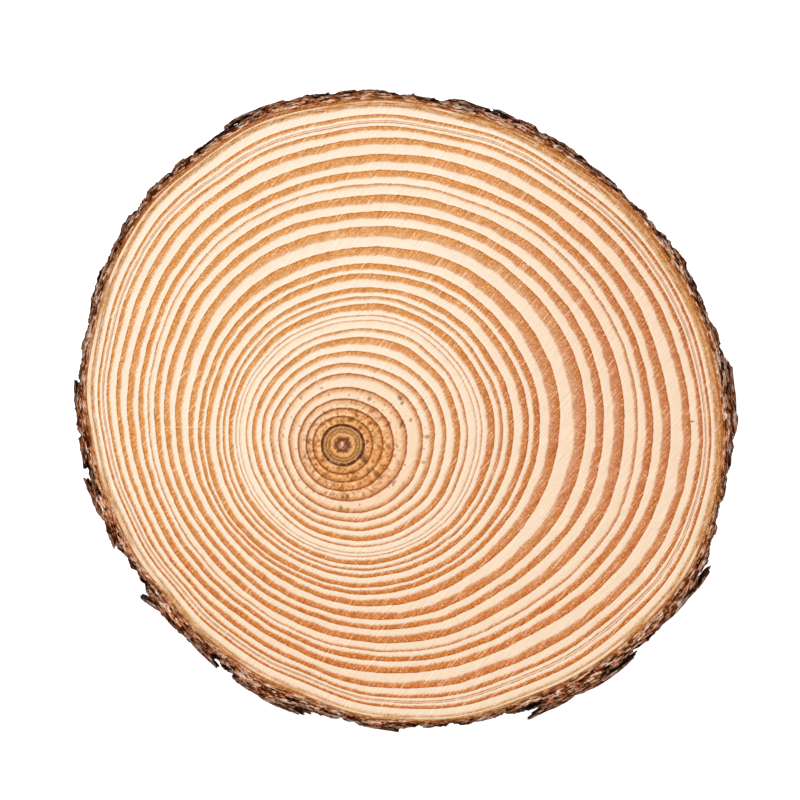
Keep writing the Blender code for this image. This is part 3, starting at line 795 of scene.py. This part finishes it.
def make_firm_bark():
    """A sheet rolled round the trunk and closed on itself. Its x runs once round, and its y runs round the
    bark's section: up the inside, out over the top, down the outside, and back in underneath."""
    section = [(0.0, 0.0), (0.0, 1.0)]
    section += [(across, 1.0) for across in BARK_LOOPS]
    section += [(1.0, 1.0 - row / BARK_ROWS) for row in range(BARK_ROWS + 1)]
    section += [(across, 0.0) for across in reversed(BARK_LOOPS)]
    section.append(section[0])
    rows = len(section) - 1
    shape = bmesh.new()
    layers = [shape.verts.layers.float.new(name) for name in BARK_READINGS]
    cut_layer, depth_layer, edge_layer, past_layer, recess_shade_layer = layers
    bmesh.ops.create_grid(shape, x_segments=BARK_STEPS, y_segments=rows, size=0.5)
    bmesh.ops.translate(shape, verts=shape.verts, vec=(0.5, 0.5, 0.0))
    for vertex in shape.verts:
        degrees = round(vertex.co.x * BARK_STEPS) % BARK_STEPS * 360.0 / BARK_STEPS
        across, up = section[round(vertex.co.y * rows)]
        on_cut = across < 1.0 or up in (0.0, 1.0)
        low = edge_loss_mm(degrees, 0) * across**4
        high = THICKNESS_MM - edge_loss_mm(degrees, 1) * across**4
        height = low + (high - low) * up
        depth, fissure = bark_depth_mm(degrees, height)
        beyond = BARK_INNER_MM + (depth - BARK_INNER_MM) * across
        vertex[cut_layer] = float(on_cut)
        vertex[depth_layer] = beyond
        vertex[edge_layer] = depth - beyond
        vertex[past_layer] = beyond - around(INNER_BARK_MM, degrees)
        # Painted shade for the gaps and hollows on the cut, and for the fissures on the outside.
        if on_cut and across > 0.0:
            face = int(up)
            drop, gap_shade = cut_drop_mm(degrees, beyond, face)
            height += (1 - 2 * face) * drop
            vertex[recess_shade_layer] = gap_shade
        elif not on_cut:
            vertex[recess_shade_layer] = 0.7 * fissure
        vertex.co = bark_place_mm(degrees, beyond, height)
    bmesh.ops.remove_doubles(shape, verts=shape.verts, dist=0.001)
    return put_in_scene("firm_bark", shape, bark_finish, 60.0)


firm_bark = make_firm_bark()
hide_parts("bark")
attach(firm_bark, "root")


# The loose scales: slivers of the outer bark that still hold at one end, with thin ragged tips, and
# on the bark's side many small blisters of cork whose lower ends have lifted.
FLAKE_STEPS = 18
FLAKE_ROWS = 9
ROOT_DEPTH_MM = 0.3  # how deep a sliver's root lies in the firm bark
ROOT_SHARE = 0.4  # of its length, over which it rises out
TIP_NARROWS = 0.5
TIP_THINS = 0.72
FACE_JAG_MM = 0.45
FACE_FRAY_MM = 0.30
SCALE_COUNT = 150
SCALE_STEPS = 6
SCALE_WIDE_MM = 4.6
SCALE_TALL_MM = 6.5
SCALE_LIFT_MM = 0.9
SCALE_ROOT_MM = 0.35
GOLDEN_TURN_DEGREES = 137.508  # spreads the small scales evenly round the trunk
SCALE_HEIGHT_STEP = 0.618  # and up its side, as a share of the band that they lie in
SCALES_FROM_MM = 4.0
SCALE_BAND_MM = 12.0
# root and tip are angles; root_face and tip_face are how far the outer face lies from the cambium.
Flake = namedtuple("Flake", "root tip root_face_mm tip_face_mm thick_mm low_mm high_mm")
FLAKES = [Flake(*sizes) for sizes in (
    (359.0, 371.4, 5.5, 6.5, 2.8, 4.0, 19.6),
    (362.0, 356.2, 4.2, 3.2, 1.8, 9.6, 19.2),
    (392.0, 384.0, 4.3, 5.0, 1.6, 0.6, 11.0),
    (410.0, 403.5, 3.5, 3.3, 1.4, 6.0, 14.0),
    (418.5, 409.6, 4.2, 3.5, 1.9, 5.0, 19.5),
    (434.6, 426.6, 4.9, 4.7, 2.2, 7.0, 19.6),
    (417.4, 425.2, 3.6, 5.4, 1.8, 8.0, 19.5),
    (431.0, 423.5, 3.4, 4.4, 1.8, 1.0, 12.5),
    (458.5, 454.0, 3.8, 4.2, 1.7, 8.5, 19.6),
    (443.0, 449.0, 3.5, 3.7, 1.5, 0.8, 10.0),
    (456.5, 469.9, 4.1, 5.1, 2.2, 8.0, 19.7),
    (477.0, 471.0, 3.5, 3.8, 1.4, 1.5, 14.0),
    (489.0, 485.4, 4.1, 4.0, 1.5, 5.0, 19.5),
    (497.0, 492.0, 4.5, 3.9, 1.5, 7.5, 19.5),
    (508.0, 514.5, 4.4, 5.0, 1.6, 0.7, 12.0),
    (533.0, 526.6, 4.9, 5.2, 1.7, 6.0, 19.6),
    (538.0, 545.2, 5.2, 6.1, 2.0, 5.0, 19.6),
    (556.5, 547.8, 6.1, 6.9, 2.4, 3.0, 19.7),
    (558.0, 563.9, 5.9, 6.4, 1.6, 8.0, 19.5),
    (561.0, 566.8, 5.2, 4.6, 1.3, 1.5, 13.0),
    (586.3, 577.2, 5.7, 8.6, 2.0, 2.5, 19.7),
    (590.0, 600.2, 5.9, 7.4, 2.4, 6.5, 19.6),
    (597.0, 591.0, 5.4, 6.8, 1.6, 0.8, 9.5),
    (612.0, 604.6, 6.4, 6.7, 2.3, 3.0, 19.6),
    (608.0, 621.0, 6.6, 7.5, 2.6, 5.0, 19.6),
    (614.0, 622.6, 5.9, 6.7, 1.7, 1.0, 13.0),
    (632.0, 640.5, 4.6, 5.4, 2.0, 4.0, 19.4),
    (643.0, 636.2, 3.6, 4.9, 1.7, 0.9, 12.0),
    (652.0, 658.0, 3.5, 4.3, 1.5, 5.5, 14.0),
    (674.5, 664.9, 7.6, 8.9, 2.6, 4.0, 19.6),
    (671.5, 684.3, 7.9, 7.4, 1.7, 2.5, 19.9),
    (688.5, 701.0, 5.0, 8.0, 1.7, 3.5, 19.9),
    (693.0, 687.5, 5.4, 6.3, 1.6, 1.0, 12.0),
    (709.0, 713.0, 2.9, 3.0, 1.2, 2.0, 13.5),
)]


def add_flake(shape, flake, number):
    """Adds one scale: a thin slab along the bark's curve, which rises out of the firm bark at its root, and
    thins and narrows to a ragged tip.

    It starts as a unit box cut into a grid: x runs from root to tip, y through it from its
    inner to its outer face, and z up it.
    """
    layers = [shape.verts.layers.float[name] for name in BARK_READINGS]
    cut_layer, depth_layer, edge_layer, past_layer, recess_shade_layer = layers
    box = bmesh.ops.create_cube(shape, size=1.0)["verts"]
    bmesh.ops.translate(shape, verts=box, vec=(0.5, 0.5, 0.5))
    cuts = [((step / FLAKE_STEPS, 0.0, 0.0), (1.0, 0.0, 0.0)) for step in range(1, FLAKE_STEPS)]
    cuts += [((0.0, 0.0, row / FLAKE_ROWS), (0.0, 0.0, 1.0)) for row in range(1, FLAKE_ROWS)]
    cuts += [((0.0, layer / 3.0, 0.0), (0.0, 1.0, 0.0)) for layer in (1, 2)]
    own = set(box)
    for point, way in cuts:
        edges = {edge for vertex in own for edge in vertex.link_edges}
        faces = {face for vertex in own for face in vertex.link_faces}
        made = bmesh.ops.bisect_plane(
            shape, geom=[*own, *edges, *faces], dist=1e-5, plane_co=point, plane_no=way
        )
        own |= {item for item in made["geom_cut"] if isinstance(item, bmesh.types.BMVert)}
    tall = flake.high_mm - flake.low_mm
    for vertex in own:
        along, across, up = vertex.co
        jag = Vector((along * 2.3, up * 2.7, 5.0 * number + 0.77))
        ragged = Vector((along * 9.0, up * 8.0, 5.0 * number + 3.0 * across))
        reach = along * (1.0 + 0.16 * noise.noise(jag) + 0.10 * noise.noise(ragged))
        degrees = flake.root + (flake.tip - flake.root) * reach
        narrow = TIP_NARROWS * along**3 * (1.0 - 0.4 * noise.noise(jag))
        height = flake.low_mm + tall * (0.35 * narrow + up * (1.0 - 0.7 * narrow))
        height += 0.25 * noise.noise(ragged * 1.3) - 0.25
        outer = flake.root_face_mm + (flake.tip_face_mm - flake.root_face_mm) * along**1.6
        outer += FACE_JAG_MM * noise.noise(jag * 1.9) + FACE_FRAY_MM * noise.noise(ragged)
        buried = bark_depth_mm(degrees, height)[0] - ROOT_DEPTH_MM
        outer = buried + (outer - buried) * smooth_step(0.0, ROOT_SHARE, along)
        thick = flake.thick_mm * (1.0 - TIP_THINS * along**2) * (1.0 + 0.3 * noise.noise(ragged * 0.7))
        beyond = max(outer - thick * (1.0 - across), 0.6 + 0.2 * across)
        vertex[cut_layer] = float(up > 0.99)
        vertex[depth_layer] = beyond
        vertex[edge_layer] = thick * (1.0 - across)
        vertex[past_layer] = beyond
        # Painted shade on the flake's inner face, towards the bark, but not on its top.
        vertex[recess_shade_layer] = 0.6 * smooth_step(0.55, 0.05, across) if up < 0.99 else 0.0
        vertex.co = bark_place_mm(degrees, beyond, min(height, THICKNESS_MM))


def add_scale(shape, number):
    """Adds one small scale to the side of the bark: a thin blister whose lower end stands off."""
    cut_layer = shape.verts.layers.float["cut"]
    recess_shade_layer = shape.verts.layers.float["recess_shade"]
    turn = number * GOLDEN_TURN_DEGREES
    degrees = turn + 3.0 * noise.noise(Vector((number * 0.7, 1.5, 0.0)))
    middle = SCALES_FROM_MM + SCALE_BAND_MM * ((number * SCALE_HEIGHT_STEP) % 1.0)
    wide = SCALE_WIDE_MM + 3.0 * noise.noise(Vector((number * 0.9, 4.5, 0.0)))
    tall = SCALE_TALL_MM + 4.0 * noise.noise(Vector((number * 1.1, 8.5, 0.0)))
    grid = bmesh.ops.create_grid(shape, x_segments=SCALE_STEPS, y_segments=SCALE_STEPS, size=0.5)
    for vertex in grid["verts"]:
        side, up = vertex.co.x, vertex.co.y
        jag = Vector((side * 3.0, up * 3.0, 3.0 * number))
        # The square is pulled in to a rough oval.
        oval = 1.0 - 0.9 * (side * up) ** 2 * 4.0
        height = middle + tall * up * oval * (1.0 + 0.35 * noise.noise(jag))
        height = min(max(height, 0.9), THICKNESS_MM - 1.2)
        way = side * oval * wide * (1.0 + 0.35 * noise.noise(jag + Vector((0.0, 0.0, 1.3))))
        place = degrees + math.degrees(way / cambium_mm(degrees))
        from_middle = max(abs(side), abs(up)) * 2.0
        lift = SCALE_LIFT_MM * (0.5 - up) * (1.0 - 0.5 * from_middle) + 0.12
        lift += 0.12 * noise.noise(jag * 2.0)
        if from_middle > 0.99:
            lift = -SCALE_ROOT_MM if up > -0.45 else lift * 0.9
        beyond = bark_depth_mm(place, height)[0] + lift
        vertex[cut_layer] = 0.0
        # Painted shade round the scale's rim.
        vertex[recess_shade_layer] = 0.5 * smooth_step(0.7, 1.0, from_middle)
        vertex.co = bark_place_mm(place, beyond, height)


loose_shape = bmesh.new()
for reading in BARK_READINGS:
    loose_shape.verts.layers.float.new(reading)
for number, flake in enumerate(FLAKES):
    add_flake(loose_shape, flake, number)
for number in range(SCALE_COUNT):
    add_scale(loose_shape, number)
loose_scales = put_in_scene("loose_scales", loose_shape, bark_finish, 50.0)
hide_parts("bark")
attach(loose_scales, "root")


# The photograph's setting: a white floor in even light from all round, seen from straight above.
PHOTO_MM_A_PIXEL = 0.362
PHOTO_PIXELS = 800
PITH_PIXEL = (342.5, 445.0)
LENS_MM = 135.0
floor_shape = bmesh.new()
bmesh.ops.create_grid(floor_shape, x_segments=1, y_segments=1, size=3000.0)
bmesh.ops.translate(floor_shape, verts=floor_shape.verts, vec=(0.0, 0.0, -0.2))
paper = bpy.data.materials.new("white_paper")
paper.use_nodes = True
paper_shader = paper.node_tree.nodes["Principled BSDF"]
paper_shader.inputs["Base Color"].default_value = colour("#F8F8F8")
paper_shader.inputs["Roughness"].default_value = 0.9
paper_shader.inputs["Emission Color"].default_value = colour("#FFFFFF")
paper_shader.inputs["Emission Strength"].default_value = 0.7
floor = put_in_scene("floor", floor_shape, paper, 30.0)

world = bpy.data.worlds.new("white_room")
world.use_nodes = True
sky = world.node_tree.nodes["Background"]
sky.inputs["Color"].default_value = (1.0, 1.0, 1.0, 1.0)
sky.inputs["Strength"].default_value = 0.85
bpy.context.scene.world = world

softbox = bpy.data.lights.new("softbox", "AREA")
softbox.shape = "DISK"
softbox.size = 1.2
softbox.energy = 9.0
softbox_object = bpy.data.objects.new("softbox", softbox)
softbox_object.location = (-0.7, 0.8, 1.5)
softbox_object.rotation_euler = (-softbox_object.location).to_track_quat("-Z", "Y").to_euler()
bpy.context.scene.collection.objects.link(softbox_object)

lens = bpy.data.cameras.new("camera")
lens.lens = LENS_MM
lens.sensor_width = 36.0
photo_mm = PHOTO_MM_A_PIXEL * PHOTO_PIXELS
off_middle_mm = [PHOTO_PIXELS / 2.0 - PITH_PIXEL[0], PITH_PIXEL[1] - PHOTO_PIXELS / 2.0]
camera = bpy.data.objects.new("camera", lens)
camera.location = (
    (PITH_MM.x + off_middle_mm[0] * PHOTO_MM_A_PIXEL) * MM,
    (PITH_MM.y + off_middle_mm[1] * PHOTO_MM_A_PIXEL) * MM,
    (THICKNESS_MM + photo_mm * LENS_MM / lens.sensor_width) * MM,
)
bpy.context.scene.collection.objects.link(camera)
bpy.context.scene.camera = camera
bpy.context.scene.view_settings.view_transform = "Standard"
